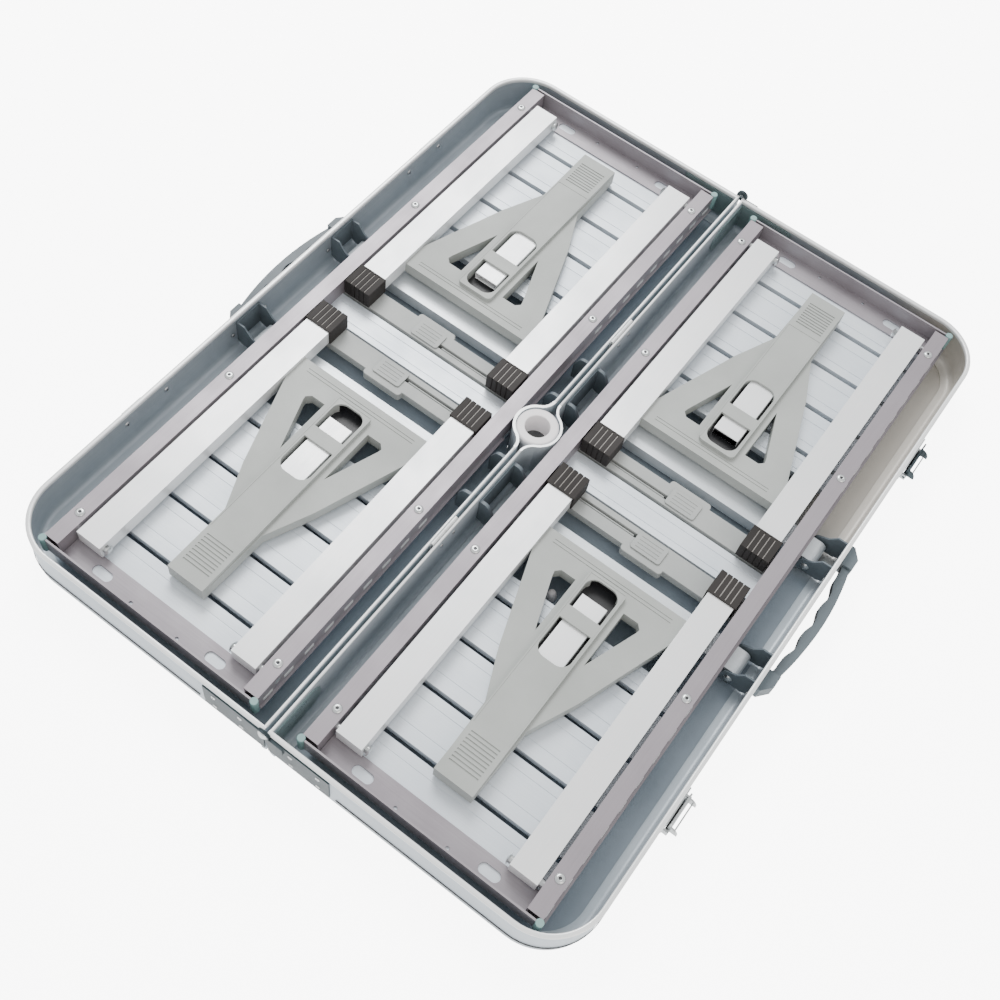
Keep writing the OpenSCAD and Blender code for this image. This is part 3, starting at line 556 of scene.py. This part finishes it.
@dataclass(frozen=True)
class Fastener:
    """A domed head, repeated by Geometry Nodes wherever a sub-assembly has one.

    Attributes:
        name: the node tree's name.
        radius_mm: radius of the head.
        height_mm: height of the dome.
        pit_mm: radius of the pit in its middle, or 0 for none.
        finish: finish of the head.
        pit_finish: finish of the pit's floor.
    """

    name: str
    radius_mm: float
    height_mm: float
    pit_mm: float = 0.0
    finish: Finish = STEEL
    pit_finish: Finish = PIT

    def head(self, steps: int = 20) -> bpy.types.Object:
        """Turns the head's outline round its axis.

        Args:
            steps: facets round the head.

        Returns:
            The head, standing on its own origin with its axis along Z.
        """
        r, h, pit = self.radius_mm * MM, self.height_mm * MM, self.pit_mm * MM
        rim = [(r, -SUNK), (r, h * 0.22), (r * 0.96, h * 0.38), (r * 0.82, h * 0.72), (r * 0.62, h * 0.93)]
        if pit:
            rim += [(pit * 1.25, h), (pit * 1.02, h * 0.92), (pit * 0.96, h * 0.45), (pit * 0.5, h * 0.5)]
        else:
            rim += [(r * 0.4, h * 0.99), (r * 0.2, h)]
        shape = bmesh.new()
        rings = [[shape.verts.new((x * math.cos(t), x * math.sin(t), z))
                  for t in (2 * math.pi * k / steps for k in range(steps))] for x, z in rim]
        for i, (below, above) in enumerate(zip(rings, rings[1:])):
            for k in range(steps):
                j = (k + 1) % steps
                face = shape.faces.new((below[k], below[j], above[j], above[k]))
                face.material_index = 1 if pit and i >= len(rim) - 3 else 0
                face.smooth = True
        shape.faces.new(rings[-1]).material_index = 1 if pit else 0
        shape.faces.new(reversed(rings[0]))
        mesh = bpy.data.meshes.new(self.name)
        shape.to_mesh(mesh)
        shape.free()
        obj = bpy.data.objects.new(f"{self.name}_master", mesh)
        mesh.materials.append(self.finish.material())
        mesh.materials.append(self.pit_finish.material())
        return obj

    def tree(self) -> bpy.types.NodeTree:
        """The node tree that stands a head on every point, turned to the point's normal.

        Returns:
            The tree, made once for each kind of fastener.
        """
        found = bpy.data.node_groups.get(self.name)
        if found:
            return found
        made = bpy.data.node_groups.new(self.name, "GeometryNodeTree")
        made.interface.new_socket("Geometry", in_out="INPUT", socket_type="NodeSocketGeometry")
        made.interface.new_socket("Head", in_out="INPUT", socket_type="NodeSocketObject")
        size = made.interface.new_socket("Size", in_out="INPUT", socket_type="NodeSocketFloat")
        size.default_value = 1.0
        made.interface.new_socket("Geometry", in_out="OUTPUT", socket_type="NodeSocketGeometry")
        given = add_node(made, "NodeGroupInput")
        head = add_node(made, "GeometryNodeObjectInfo", {"Object": given.outputs["Head"]})
        turn_to = add_node(made, "GeometryNodeInputNamedAttribute", {"Name": "facing"},
                           data_type="FLOAT_VECTOR")
        turn = add_node(made, "FunctionNodeAlignRotationToVector", {"Vector": turn_to.outputs[0]}, axis="Z")
        stand = add_node(made, "GeometryNodeInstanceOnPoints", {
            "Points": given.outputs["Geometry"], "Instance": head.outputs["Geometry"],
            "Rotation": turn.outputs[0], "Scale": given.outputs["Size"]})
        real = add_node(made, "GeometryNodeRealizeInstances", {"Geometry": stand.outputs[0]})
        index = add_node(made, "GeometryNodeInputMaterialIndex")
        is_pit = add_node(made, "FunctionNodeCompare", {2: index.outputs[0], 3: 1},
                          data_type="INT", operation="EQUAL")
        no_pit = add_node(made, "FunctionNodeBooleanMath", {0: is_pit.outputs[0]}, operation="NOT")
        plain = add_node(made, "GeometryNodeSetMaterial", {
            "Geometry": real.outputs[0], "Material": self.finish.material(), "Selection": no_pit.outputs[0]})
        dark = add_node(made, "GeometryNodeSetMaterial", {
            "Geometry": plain.outputs[0], "Material": self.pit_finish.material(),
            "Selection": is_pit.outputs[0]})
        add_node(made, "NodeGroupOutput", {"Geometry": dark.outputs[0]})
        return made

    def stand(self, name: str, body: str, slot: str, places: Sequence[tuple[Vector, Vector]],
              nodes: Iterable[str] = ()) -> bpy.types.Object:
        """Stands a head at each place, as one piece.

        Args:
            name: the piece's name.
            body: the CAD body it rides on.
            slot: the record's material slot; not used.
            places: each head's foot and the way that it faces.
            nodes: the CAD nodes that the piece replaces.

        Returns:
            The piece.
        """
        mesh = bpy.data.meshes.new(name)
        mesh.from_pydata([tuple(p) for p, _ in places], [], [])
        facing = mesh.attributes.new("facing", "FLOAT_VECTOR", "POINT")
        for i, (_, way) in enumerate(places):
            facing.data[i].vector = way
        piece = new_piece(name, mesh, None)
        tree = self.tree()
        master = self.head()
        repeat = piece.modifiers.new("repeat", "NODES")
        repeat.node_group = tree
        sockets = {s.name: s.identifier for s in tree.interface.items_tree if s.in_out == "INPUT"}
        repeat[sockets["Head"]] = master
        repeat[sockets["Size"]] = 1.0
        baked(piece)
        bpy.data.objects.remove(master)
        return seat(piece, body, nodes)


@dataclass(frozen=True)
class Plug(Fastener):
    """A flat oblong plug, repeated like a rivet.

    Attributes:
        length_mm: its length, across the way that it faces.
    """

    length_mm: float = 12.0

    def head(self, steps: int = 20) -> bpy.types.Object:
        """Makes the plug's chamfered block.

        Args:
            steps: not used, as the plug isn't round.

        Returns:
            The plug, standing on its own origin and facing along Z.
        """
        half, reach, top = self.radius_mm * MM, self.length_mm * MM / 2, self.height_mm * MM
        chamfer = top * 0.6
        shape = bmesh.new()
        rings = [[shape.verts.new((x * (half - inset), y * (reach - inset), z))
                  for x, y in ((-1, -1), (1, -1), (1, 1), (-1, 1))]
                 for inset, z in ((0.0, -SUNK), (0.0, top - chamfer), (chamfer, top))]
        for below, above in zip(rings, rings[1:]):
            for k in range(4):
                shape.faces.new((below[k], below[(k + 1) % 4], above[(k + 1) % 4], above[k]))
        shape.faces.new(rings[-1])
        shape.faces.new(reversed(rings[0]))
        mesh = bpy.data.meshes.new(self.name)
        shape.to_mesh(mesh)
        shape.free()
        mesh.materials.append(self.finish.material())
        return bpy.data.objects.new(f"{self.name}_master", mesh)


POP_RIVET = Fastener("pop_rivet", 5.0, 1.9, 1.5)
SMALL_RIVET = Fastener("small_pop_rivet", 2.6, 1.0, 0.8)
REST_STUD = Fastener("rest_stud", 6.0, 13.0, 0.0, WHITE, WHITE)
SLAT_TAB = Plug("slat_tab", 2.2, 0.5, 0.0, ENAMEL, ENAMEL, 13.0)
WALL_SCREW = Fastener("wall_screw", 3.4, 1.5, 1.2)


# ------------------------------------------------------------------------------------- sub-assemblies


@dataclass
class Case:
    """One tray: its frame, table-top panel, brackets and, on the left, the umbrella collar.

    Attributes:
        side: which tray.
        wall_mm: thickness of its walls.
        bead_mm: height of the bead on their top edge, which has the painted highlight.
        flange_mm: how far the bracket rivets stand in from the brackets' outer side.
        bracket_rivets_mm: Y of each bracket rivet, at the back end.
        bracket_rivet_up_mm: height of the bracket rivets.
        plate_rivets_mm: X and then Z of the rivets in an end hinge plate.
        plate_face_mm: Y of the plate's outer face.
        leaf_rivets_mm: Y of the rivets in a hinge leaf.
        leaf_mm: X and Z of the leaf rivets.
        stud_mm: X and Y of the stud on the floor under the bench.
        screws_mm: Y of the screws in the outer wall.
        screw_up_mm: height of the screws.
    """

    side: Side
    wall_mm: float = 3.0
    bead_mm: float = 4.8
    flange_mm: float = 2.0
    bracket_rivets_mm: tuple[float, float] = (53.5, 105.5)
    bracket_rivet_up_mm: float = 30.0
    plate_rivets_mm: tuple[tuple[float, float], tuple[float, float]] = ((30.0, 62.0), (20.0, 42.0))
    plate_face_mm: float = 429.0
    leaf_rivets_mm: tuple[float, float] = (152.0, 172.0)
    leaf_mm: tuple[float, float] = (5.0, 44.0)
    stud_mm: tuple[float, float] = (117.0, 131.0)
    screws_mm: tuple[float, float] = (205.0, 262.0)
    screw_up_mm: float = 36.0

    def build(self) -> None:
        """Makes the tray's pieces."""
        word = self.side.word
        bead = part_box(f"case_frame_{word}")[1].z - self.bead_mm * MM
        # the bead on the walls' top gets the near-white painted highlight
        dress_node(f"case_frame_{word}", WALL, Edge(), RIM_HIGHLIGHT, lambda low, high, way: low.z > bead)
        dress_node(f"table_panel_{word}", TOP_SHEET, Edge(0.4))
        dress_node(f"arm_brackets_{word}", BRACKET, Edge(0.4))
        dress_node(f"cradle_brackets_{word}", BRACKET, Edge(0.4))
        dress_node(f"arm_pins_{word}", STEEL)
        dress_node(f"corner_plates_{word}", CLEAR, Edge(0.3))
        dress_node(f"end_hinge_plates_{word}", DARK, Edge(0.3))
        dress_node(f"hinge_leaves_{word}", ENAMEL)
        if self.side is Side.LEFT:
            dress_node("umbrella_collar", WHITE, Edge(1.2, 3))
            dress_node("hinge_pins", STEEL)
            dress_node("end_hinge_pins", STEEL)
            # painted shade at the foot of the bore
            self.line_bore()
        self.fasten()
        self.line_wall()

    def line_bore(self, high_mm: float = 25.0, proud_mm: float = 0.15, wall_mm: float = 10.0,
                  steps: int = 48) -> None:
        """Paints shade at the foot of the collar's bore, as a thin dark sleeve.

        Args:
            high_mm: height of the sleeve.
            proud_mm: how far it stands off the bore.
            wall_mm: width of the collar's wall, from its bore to its outside.
            steps: facets round it.
        """
        low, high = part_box("umbrella_collar")
        middle = (low + high) / 2
        bore = (high.y - low.y) / 2 - wall_mm * MM
        inner, outer = bore - proud_mm * MM, bore + 0.3 * MM
        rim = ((inner, SUNK), (inner, high_mm * MM), (outer, high_mm * MM), (outer, SUNK))
        shape = bmesh.new()
        rings = []
        for k in range(steps):
            angle = 2 * math.pi * k / steps
            rings.append([shape.verts.new((middle.x + r * math.cos(angle), middle.y + r * math.sin(angle), z))
                          for r, z in rim])
        for near, away in zip(rings, rings[1:] + rings[:1]):
            for k in range(4):
                shape.faces.new((near[k], away[k], away[(k + 1) % 4], near[(k + 1) % 4]))
        bmesh.ops.recalc_face_normals(shape, faces=shape.faces)
        mesh = bpy.data.meshes.new("bore_sleeve")
        shape.to_mesh(mesh)
        shape.free()
        seat(soften(new_piece("bore_sleeve", mesh, PAINTED_SHADE), Edge()), "case_left")

    def line_wall(self, low_mm: float = 15.0, high_mm: float = 17.2, proud_mm: float = 0.25,
                  corner_mm: float = 60.0, start_mm: float = 82.0, steps: int = 14) -> None:
        """Runs a pressed line round the tray's outside, clear of the hinge plates, with painted shade as its
        dark colour.

        Args:
            low_mm: height of the line's lower edge.
            high_mm: height of its upper edge.
            proud_mm: how far it stands off the wall.
            corner_mm: radius of the tray's outer corners.
            start_mm: how far from the hinge line it starts.
            steps: facets round a corner.
        """
        low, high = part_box(f"case_frame_{self.side.word}")
        g = self.side.value
        far, half, radius = max(abs(low.x), abs(high.x)), high.y, corner_mm * MM
        off = proud_mm * MM
        path = [(start_mm * MM, half + off)]
        for k in range(steps + 1):
            turn = math.radians(90 * k / steps)
            path.append((far - radius + (radius + off) * math.sin(turn),
                         half - radius + (radius + off) * math.cos(turn)))
        path += [(x, -y) for x, y in reversed(path)]
        shape = bmesh.new()
        rings = []
        for i, (x, y) in enumerate(path):
            before, after = path[max(i - 1, 0)], path[min(i + 1, len(path) - 1)]
            way = Vector((after[1] - before[1], before[0] - after[0])).normalized() * (-off * 3)
            back = (x + way.x, y + way.y)
            rings.append([shape.verts.new((g * px, py, z * MM)) for px, py, z in (
                (x, y, low_mm), (x, y, high_mm), (*back, high_mm), (*back, low_mm))])
        for near, away in zip(rings, rings[1:]):
            for k in range(4):
                shape.faces.new((near[k], away[k], away[(k + 1) % 4], near[(k + 1) % 4]))
        shape.faces.new(reversed(rings[0]))
        shape.faces.new(rings[-1])
        bmesh.ops.recalc_face_normals(shape, faces=shape.faces)
        mesh = bpy.data.meshes.new("wall_line")
        shape.to_mesh(mesh)
        shape.free()
        # the line's dark colour is painted shade
        piece = new_piece(f"wall_line_{self.side.word}", mesh, PIT)
        seat(soften(piece, Edge()), f"case_{self.side.word}")

    def rivet_places(self, end: End) -> list[tuple[Vector, Vector]]:
        """Finds the small rivets of the brackets, the end hinge plate and the hinge leaf at one end.

        Args:
            end: the tray's end.

        Returns:
            Each rivet's foot and the way that it faces.
        """
        g, h = self.side.value, end.value
        low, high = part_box(f"arm_brackets_{self.side.word}")
        flange = max(abs(low.x), abs(high.x)) - self.flange_mm * MM
        plate_xs, plate_zs = self.plate_rivets_mm
        leaf_x, leaf_z = self.leaf_mm
        rivets = [(Vector((g * flange, h * y * MM, self.bracket_rivet_up_mm * MM)), Vector((-g, 0, 0)))
                  for y in self.bracket_rivets_mm]
        rivets += [(Vector((g * x * MM, h * self.plate_face_mm * MM, z * MM)), Vector((0, h, 0)))
                   for x in plate_xs for z in plate_zs]
        rivets += [(Vector((g * leaf_x * MM, h * y * MM, leaf_z * MM)), Vector((g, 0, 0)))
                   for y in self.leaf_rivets_mm]
        return rivets

    def fasten(self) -> None:
        """Adds the small rivets, the studs on the floor and the screws in the outer wall."""
        g, word, body = self.side.value, self.side.word, f"case_{self.side.word}"
        rivets = [place for end in End for place in self.rivet_places(end)]
        SMALL_RIVET.stand(f"case_rivets_{word}", body, "steel", rivets)
        floor_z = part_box(f"table_panel_{word}")[1].z
        stud_x, stud_y = self.stud_mm
        studs = [(Vector((g * stud_x * MM, end.value * stud_y * MM, floor_z)), Vector((0, 0, 1)))
                 for end in End]
        REST_STUD.stand(f"rest_studs_{word}", body, "white_plastic", studs)
        wall = max(abs(c.x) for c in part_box(f"case_frame_{word}")) - self.wall_mm * MM
        screws = [(Vector((g * wall, end.value * y * MM, self.screw_up_mm * MM)), Vector((-g, 0, 0)))
                  for end in End for y in self.screws_mm]
        WALL_SCREW.stand(f"wall_screws_{word}", body, "steel", screws)


@dataclass
class Handle:
    """A carrying handle: a wavy grip between two blocks on the outer wall."""

    side: Side

    def build(self) -> None:
        """Makes the grip, its blocks and the painted shade behind the grip."""
        dress_node(f"handle_grip_{self.side.word}", HANDLE, Edge(2.2, 3, 40))
        dress_node(f"handle_blocks_{self.side.word}", HANDLE, Edge(1.2, 3))
        self.pad()

    def pad(self, proud_mm: float = 0.5, sunk_mm: float = 0.4, block_mm: float = 24.0,
            inset_mm: float = 6.5) -> None:
        """Paints shade on the wall behind the grip, as a thin dark pad.

        Args:
            proud_mm: how far it stands off the wall.
            sunk_mm: how far it goes into the wall.
            block_mm: how far it stops short of the blocks' outer ends.
            inset_mm: how far it stops short of the wall's top and bottom.
        """
        low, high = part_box(f"handle_blocks_{self.side.word}")
        case_low, case_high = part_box(f"case_frame_{self.side.word}")
        wall = max(abs(case_low.x), abs(case_high.x))
        middle = Vector((self.side.value * (wall + (proud_mm - sunk_mm) * MM / 2),
                         (low.y + high.y) / 2, (case_low.z + case_high.z) / 2))
        sides = ((proud_mm + sunk_mm) * MM, high.y - low.y - 2 * block_mm * MM,
                 case_high.z - case_low.z - 2 * inset_mm * MM, 1.0)
        shape = bmesh.new()
        bmesh.ops.create_cube(shape, size=1.0, matrix=Matrix.Translation(middle) @ Matrix.Diagonal(sides))
        mesh = bpy.data.meshes.new("handle_pad")
        shape.to_mesh(mesh)
        shape.free()
        # near-black painted shade behind the grip
        pad = new_piece(f"handle_pad_{self.side.word}", mesh, PAINTED_SHADE)
        seat(soften(pad, Edge(0.3, 2)), f"case_{self.side.word}")


@dataclass
class Latches:
    """The latch levers and plates on the right tray, and their catches on the left one.

    Attributes:
        wire_mm: diameter of a lever's wire.
        inset_mm: how far the wire stops short of the lever's ends.
        place_mm: how far the wire is from the lever's outer side and from its foot.
    """

    wire_mm: float = 1.6
    inset_mm: float = 4.5
    place_mm: tuple[float, float] = (4.0, 6.0)

    def build(self) -> None:
        """Makes the latches."""
        dress_node("latch_plates", STEEL, Edge(0.3))
        dress_node("latch_catches", STEEL, Edge(0.3))
        from_side, from_foot = (v * MM for v in self.place_mm)
        inset = self.inset_mm * MM
        for end, finish in ((End.FRONT, STEEL), (End.BACK, DARK)):
            node = f"latch_lever_{end.word}"
            dress_node(node, finish, Edge(0.4))
            low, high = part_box(node)
            place = Vector((high.x - from_side, low.y + inset, low.z + from_foot))
            wire = rod(f"latch_wire_{end.word}", place, high.y - low.y - 2 * inset, self.wire_mm / 2, STEEL)
            seat(wire, BODY_OF[node])


@dataclass
class Bench:
    """A folding bench: rails, slats, end plates, lock housings with their sliders, and its trim.

    Attributes:
        side: which tray it is in.
        long_mm: what a corner cap's height and a leg bolt's length are more than.
        foot_mm: width of a rail's foot flange.
        half_rail_mm: half the width of a rail's tube.
        rivets_mm: Y of the rivets in a rail, at the back end.
        first_tab_mm: Y of the slat tab nearest to the middle.
        tab_step_mm: from one slat tab to the next.
        tabs: how many slat tabs a rail has at each end.
        tab_up_mm: how far a tab's middle is above the rail's foot.
    """

    side: Side
    long_mm: float = 20.0
    foot_mm: float = 3.0
    half_rail_mm: float = 8.5
    rivets_mm: tuple[float, float] = (157.5, 369.5)
    first_tab_mm: float = 160.6
    tab_step_mm: float = 29.2
    tabs: int = 9
    tab_up_mm: float = 6.5

    def build(self) -> None:
        """Makes the bench's pieces."""
        word = self.side.word
        dress_node(f"bench_rails_{word}", RAIL, Edge(0.5))
        dress_node(f"seat_slats_{word}", SLAT, Edge(0.3, 1))
        dress_node(f"bench_plates_{word}", PLATE, Edge(0.3))
        dress_node(f"lock_housings_{word}", HOUSING, Edge(0.9, 3))
        for end in End:
            dress_node(f"lock_slider_{word}_{end.word}", HOUSING, Edge(0.5))
        self.trim()

    def trim(self) -> None:
        """Makes the corner caps, leg bolts and rail rivets, which are one node in the frame, and the tabs."""
        word, g = self.side.word, self.side.value
        node, body = f"bench_trim_{word}", f"bench_{word}"
        long = self.long_mm * MM
        cap_mesh = merged_mesh(node, lambda low, high: high.z - low.z > long)
        caps = new_piece(f"corner_caps_{word}", cap_mesh, CAP)
        seat(soften(caps, Edge(0.8, 3)), body, [node])
        bolt_mesh = merged_mesh(node, lambda low, high: high.x - low.x > long)
        bolts = new_piece(f"leg_bolts_{word}", bolt_mesh, STEEL)
        seat(soften(bolts, Edge()), body)
        low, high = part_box(f"bench_rails_{word}")
        inner, outer = sorted((abs(low.x), abs(high.x)))
        inner, outer = inner + self.foot_mm * MM, outer - self.foot_mm * MM
        half_rail = self.half_rail_mm * MM
        rivets = [(Vector((g * x, h * y * MM, high.z)), Vector((0, 0, 1)))
                  for x in (inner + half_rail, outer - half_rail) for y in self.rivets_mm for h in (-1, 1)]
        POP_RIVET.stand(f"rail_rivets_{word}", body, "steel", rivets)
        tab_ys = [(self.first_tab_mm + self.tab_step_mm * k) * MM for k in range(self.tabs)]
        tabs = [(Vector((g * x, h * y, low.z + self.tab_up_mm * MM)), Vector((g * way, 0, 0)))
                for x, way in ((inner, -1), (outer, 1)) for h in (-1, 1) for y in tab_ys]
        SLAT_TAB.stand(f"slat_tabs_{word}", body, "white_enamel", tabs)


@dataclass
class LegFrame:
    """A leg frame: two tubes, two rubber feet, the brace panel and its lock bolt.

    Attributes:
        side: the side of its bench.
        end: the bench's end that it is at.
        grooves_mm: the least and most depth of a foot's groove floors below its top.
        channel_mm: half the width of the brace's channel, which has near-black painted shade.
        roof_mm: how far the channel's roof is below the brace's top.
        bed_mm: how far the channel's floor is above the brace's foot.
    """

    side: Side
    end: End
    grooves_mm: tuple[float, float] = (0.7, 1.4)
    channel_mm: float = 18.8
    roof_mm: float = 3.4
    bed_mm: float = 2.5

    def build(self) -> None:
        """Makes the leg frame's pieces."""
        tail = f"{self.side.word}_{self.end.word}"
        dress_node(f"leg_tubes_{tail}", TUBE, Edge(1.0, 3))
        foot_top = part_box(f"leg_feet_{tail}")[1].z
        shallow, deep = (v * MM for v in self.grooves_mm)
        # the groove floors get the light grey painted highlight
        dress_node(f"leg_feet_{tail}", RUBBER, Edge(0.3), GROOVE_HIGHLIGHT,
                   lambda low, high, way: way.z > 0.9 and shallow < foot_top - low.z < deep)
        brace_low, brace_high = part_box(f"leg_brace_{tail}")
        middle, channel = (brace_low.x + brace_high.x) / 2, self.channel_mm * MM
        bed, roof = brace_low.z + self.bed_mm * MM, brace_high.z - self.roof_mm * MM
        # the inside of the brace's channel gets near-black painted shade
        dress_node(f"leg_brace_{tail}", BRACE, Edge(1.0, 3), PAINTED_SHADE, lambda low, high, way: (
            middle - channel < low.x and high.x < middle + channel and bed < low.z and high.z < roof))
        dress_node(f"lock_bolt_{tail}", TUBE, Edge(1.2, 3))


@dataclass
class Arms:
    """The two arms that carry a bench out over the tray's wall."""

    side: Side

    def build(self) -> None:
        """Makes the arms."""
        dress_node(f"arms_{self.side.word}", ARM, Edge(1.0, 3))


@dataclass
class Studio:
    """The camera, the pale floor and the soft lights.

    Attributes:
        azimuth: the camera's turn round the table, in degrees.
        elevation: its height above the horizon, in degrees.
        roll: its turn about its own line of sight, in degrees.
        distance: its distance from the aim, in metres.
        aim: the point that it looks at.
        lens: its focal length on a 36 mm sensor.
        glow: how strongly the lit floor glows on the table, as a light table does.
        glare: how strongly it glows to the camera, as an overexposed sweep does.
        room: strength of the room's even light.
        reach: half the floor's side, in metres.
    """

    azimuth: float = 25.43
    elevation: float = 59.82
    roll: float = 12.38
    distance: float = 1.3196
    aim: tuple[float, float, float] = (0.0159, -0.0848, 0.030)
    lens: float = 45.9
    glow: float = 1.0
    glare: float = 7.0
    room: float = 1.15
    reach: float = 12.0

    def camera(self) -> None:
        """Sets up the camera."""
        az, el, roll = (math.radians(v) for v in (self.azimuth, self.elevation, self.roll))
        sight = Vector((-math.sin(az) * math.cos(el), math.cos(az) * math.cos(el), -math.sin(el)))
        level = Vector((math.cos(az), math.sin(az), 0))
        up = level.cross(sight)
        right = level * math.cos(roll) + up * math.sin(roll)
        top = up * math.cos(roll) - level * math.sin(roll)
        eye = Vector(self.aim) - sight * self.distance
        data = bpy.data.cameras.new("camera")
        data.lens = self.lens
        data.sensor_width = 36
        data.clip_end = 100
        camera = bpy.data.objects.new("camera", data)
        camera.matrix_world = Matrix((
            (right.x, top.x, -sight.x, eye.x), (right.y, top.y, -sight.y, eye.y),
            (right.z, top.z, -sight.z, eye.z), (0, 0, 0, 1)))
        bpy.context.scene.collection.objects.link(camera)
        bpy.context.scene.camera = camera

    def light(self, name: str, place: tuple[float, float, float], size: float, power: float,
              colour: str) -> None:
        """Adds a square soft light that faces the table.

        Args:
            name: the light's name.
            place: where it hangs.
            size: its side, in metres.
            power: its power, in watts.
            colour: its sRGB colour.
        """
        data = bpy.data.lights.new(name, "AREA")
        data.size, data.energy, data.color = size, power, linear(colour)[:3]
        lamp = bpy.data.objects.new(name, data)
        lamp.location = place
        lamp.rotation_euler = (-Vector(place)).to_track_quat("-Z", "Y").to_euler()
        bpy.context.scene.collection.objects.link(lamp)

    def floor(self) -> None:
        """Lays the floor and sets the room's even light."""
        reach = self.reach
        mesh = bpy.data.meshes.new("floor")
        mesh.from_pydata([(-reach, -reach, 0), (reach, -reach, 0), (reach, reach, 0), (-reach, reach, 0)], [],
                         [(0, 1, 2, 3)])
        paint = Finish("matt_white_floor", "#FCFCFC", "#FAFAFA", 0.9, 0.0, 0.0, 5.0, 900.0)
        new_piece("floor", mesh, paint)
        tree = paint.material().node_tree
        shader = next(node for node in tree.nodes if node.type == "BSDF_PRINCIPLED")
        shader.inputs["Emission Color"].default_value = linear("#FFFFFF")
        seen = add_node(tree, "ShaderNodeLightPath").outputs["Is Camera Ray"]
        strength = add_node(tree, "ShaderNodeMapRange", {
            "Value": seen, "To Min": self.glow, "To Max": self.glare})
        tree.links.new(strength.outputs[0], shader.inputs["Emission Strength"])
        world = bpy.data.worlds.new("room")
        world.use_nodes = True
        sky = world.node_tree.nodes["Background"]
        sky.inputs["Color"].default_value = linear("#FFFFFF")
        sky.inputs["Strength"].default_value = self.room
        bpy.context.scene.world = world

    def build(self) -> None:
        """Sets up the whole studio."""
        self.camera()
        self.floor()
        self.light("key", (-1.4, 1.6, 2.6), 1.6, 105, "#FFFFFF")
        self.light("fill", (1.8, -1.2, 1.6), 1.6, 14, "#FFF1E2")


def main() -> None:
    """Builds the table and its studio."""
    logging.basicConfig(level=logging.INFO, format="%(name)s: %(message)s")
    for side in Side:
        Case(side).build()
        Handle(side).build()
        Bench(side).build()
        Arms(side).build()
        for end in End:
            LegFrame(side, end).build()
    Latches().build()
    Studio().build()


if __name__ == "__main__":
    main()
